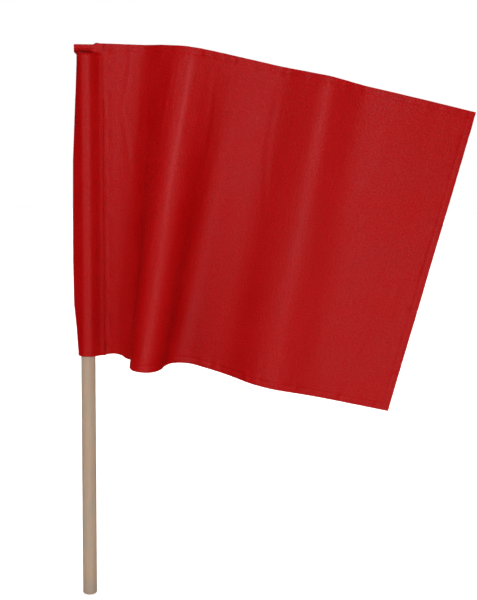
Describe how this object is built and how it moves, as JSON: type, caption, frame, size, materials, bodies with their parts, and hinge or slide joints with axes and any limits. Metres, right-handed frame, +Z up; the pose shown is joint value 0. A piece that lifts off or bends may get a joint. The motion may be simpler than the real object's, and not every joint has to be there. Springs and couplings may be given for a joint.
{
  "type": "hand signal flag",
  "caption": "Rectangular red coated-cloth hand flag with a sewn, closed-top sleeve on a round wooden pole; the cloth turns on the pole and folds along crest lines.",
  "frame": {"origin": "centre of the flat lower end of the pole", "axes": "+Z up along the pole, +X from the pole towards the fly edge of the cloth, -Y out of the front of the cloth"},
  "size_m": [0.5786, 0.1012, 0.816],
  "materials": {
    "wooden_dowel": "sanded bare wood",
    "coated_cloth": "satin coated weave",
    "sewing_thread": "matte thread"
  },
  "bodies": {
    "pole": {"dowel_pole": "wooden_dowel"},
    "inner_cloth": {"pole_sleeve": "coated_cloth", "sleeve_mouth_hem": "coated_cloth", "sleeve_top_closure": "coated_cloth", "sleeve_seam_allowance": "coated_cloth", "top_closure_thread": "sewing_thread", "sleeve_mouth_thread": "sewing_thread", "sleeve_seam_thread": "sewing_thread", "inner_panel": "coated_cloth", "inner_top_hem": "coated_cloth", "inner_bottom_hem": "coated_cloth", "inner_top_hem_thread": "sewing_thread", "inner_bottom_hem_thread": "sewing_thread"},
    "middle_cloth": {"middle_panel": "coated_cloth", "middle_top_hem": "coated_cloth", "middle_bottom_hem": "coated_cloth", "middle_top_hem_thread": "sewing_thread", "middle_bottom_hem_thread": "sewing_thread"},
    "outer_cloth": {"outer_panel": "coated_cloth", "outer_top_hem": "coated_cloth", "outer_bottom_hem": "coated_cloth", "outer_top_hem_thread": "sewing_thread", "outer_bottom_hem_thread": "sewing_thread", "fly_hem": "coated_cloth", "fly_hem_thread": "sewing_thread"}
  },
  "joints": [
    {"name": "cloth_turn", "type": "hinge", "parent": "pole", "child": "inner_cloth", "pos_m": [0, 0, 0.591], "axis": [0, 0, 1], "continuous": true},
    {"name": "inner_fold", "type": "hinge", "parent": "inner_cloth", "child": "middle_cloth", "pos_m": [0.11096, -0.05393, 0.5858], "axis": [0.128, 0.138, 0.9821], "range_deg": [-60, 20]},
    {"name": "outer_fold", "type": "hinge", "parent": "middle_cloth", "child": "outer_cloth", "pos_m": [0.30644, -0.04222, 0.55077], "axis": [0.1738, 0.0573, 0.9831], "range_deg": [-60, 50]}
  ]
}
